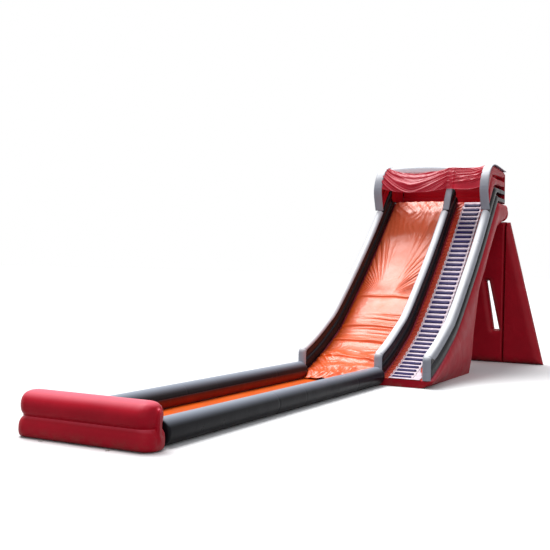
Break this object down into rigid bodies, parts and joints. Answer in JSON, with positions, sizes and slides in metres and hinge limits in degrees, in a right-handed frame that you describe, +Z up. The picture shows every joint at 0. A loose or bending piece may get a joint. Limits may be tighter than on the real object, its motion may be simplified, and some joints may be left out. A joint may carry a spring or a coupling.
{
  "type": "inflatable slide",
  "caption": "Tall inflatable drop slide with an orange slide lane, a climbing lane with rungs, a covered platform, a winged rear support and a long runout with an end bumper.",
  "frame": {"origin": "middle of the footprint, on the ground", "axes": "+Y runs along the slide from the runout's bumper to the rear support, +Z up, +X to the climbing lane's side"},
  "size_m": [9.08, 28.644, 9.56],
  "materials": {
    "red": "coated vinyl, satin with sheen",
    "dark_red": "coated vinyl, satin, deep red",
    "black": "coated vinyl, satin with a grey-violet sheen",
    "silver": "coated vinyl, satin silver white",
    "orange": "glossy wet vinyl",
    "white": "coated vinyl, satin",
    "navy": "foam-filled webbing, matt",
    "blower": "moulded, slightly textured",
    "steel": "zinc plated",
    "webbing": "woven webbing"
  },
  "bodies": {
    "slide": {"anchor_tab_bumper_left": "webbing", "anchor_tab_bumper_right": "webbing", "anchor_tab_tower_middle": "webbing", "anchor_tab_tower_right": "webbing", "back_wall": "dark_red", "bumper_lower_lobe": "red", "bumper_upper_lobe": "red", "left_arch_band": "silver", "left_blower_casing": "blower", "left_blower_motor": "steel", "left_cabin_inner_tube": "red", "left_cabin_liner": "dark_red", "left_cabin_outer_tube": "red", "left_canopy": "red", "left_flank": "red", "left_inflation_sleeve": "dark_red", "left_inlet_guard": "steel", "left_lower_tube": "black", "left_ribbon": "silver", "left_runout_tube": "black", "left_upper_tube": "black", "left_wing": "dark_red", "middle_arch_band": "silver", "middle_lower_tube": "black", "middle_ribbon": "silver", "middle_upper_tube": "black", "rear_crossbar": "red", "rear_panel": "dark_red", "right_arch_band": "silver", "right_blower_casing": "blower", "right_blower_motor": "steel", "right_cabin_inner_tube": "red", "right_cabin_liner": "dark_red", "right_cabin_outer_tube": "red", "right_canopy": "red", "right_flank": "red", "right_inflation_sleeve": "dark_red", "right_inlet_guard": "steel", "right_lower_tube": "black", "right_ribbon": "silver", "right_runout_tube": "black", "right_upper_tube": "black", "right_wing": "dark_red", "roof_bar": "silver", "rung_ladder": "navy", "runout_bed": "orange", "slide_liner": "orange", "stair_liner": "orange", "stair_mat": "white", "tower_slab": "red", "zip_tape": "black"},
    "left_fan": {"left_blower_fan": "steel"},
    "left_switch": {"left_blower_switch": "black"},
    "right_fan": {"right_blower_fan": "steel"},
    "right_switch": {"right_blower_switch": "black"},
    "ring_bumper_left": {"anchor_ring_bumper_left": "steel"},
    "ring_bumper_right": {"anchor_ring_bumper_right": "steel"},
    "ring_tower_middle": {"anchor_ring_tower_middle": "steel"},
    "ring_tower_right": {"anchor_ring_tower_right": "steel"},
    "zip_pull": {"zip_slider": "steel"}
  },
  "joints": [
    {"name": "left_fan_spin", "type": "hinge", "parent": "slide", "child": "left_fan", "pos_m": [-1.3, 9.3502, 0.36], "axis": [1, 0, 0], "continuous": true},
    {"name": "left_switch_rock", "type": "hinge", "parent": "slide", "child": "left_switch", "pos_m": [-1.5404, 9.3502, 0.488], "axis": [1, 0, 0], "range_deg": [0, 24]},
    {"name": "right_fan_spin", "type": "hinge", "parent": "slide", "child": "right_fan", "pos_m": [0.5, 9.3502, 0.36], "axis": [1, 0, 0], "continuous": true},
    {"name": "right_switch_rock", "type": "hinge", "parent": "slide", "child": "right_switch", "pos_m": [0.2596, 9.3502, 0.488], "axis": [1, 0, 0], "range_deg": [0, 24]},
    {"name": "ring_bumper_left_hinge", "type": "hinge", "parent": "slide", "child": "ring_bumper_left", "pos_m": [-2.15, -14.257, 0.0106], "axis": [-1, 0, 0], "range_deg": [0, 100]},
    {"name": "ring_bumper_right_hinge", "type": "hinge", "parent": "slide", "child": "ring_bumper_right", "pos_m": [-0.05, -14.257, 0.0106], "axis": [-1, 0, 0], "range_deg": [0, 100]},
    {"name": "ring_tower_middle_hinge", "type": "hinge", "parent": "slide", "child": "ring_tower_middle", "pos_m": [1.66, 1.5198, 0.0106], "axis": [-1, 0, 0], "range_deg": [0, 100]},
    {"name": "ring_tower_right_hinge", "type": "hinge", "parent": "slide", "child": "ring_tower_right", "pos_m": [2.3, 1.5198, 0.0106], "axis": [-1, 0, 0], "range_deg": [0, 100]},
    {"name": "zip_slide", "type": "slide", "parent": "slide", "child": "zip_pull", "axis": [1, 0, 0], "range_m": [0, 1.21]}
  ]
}
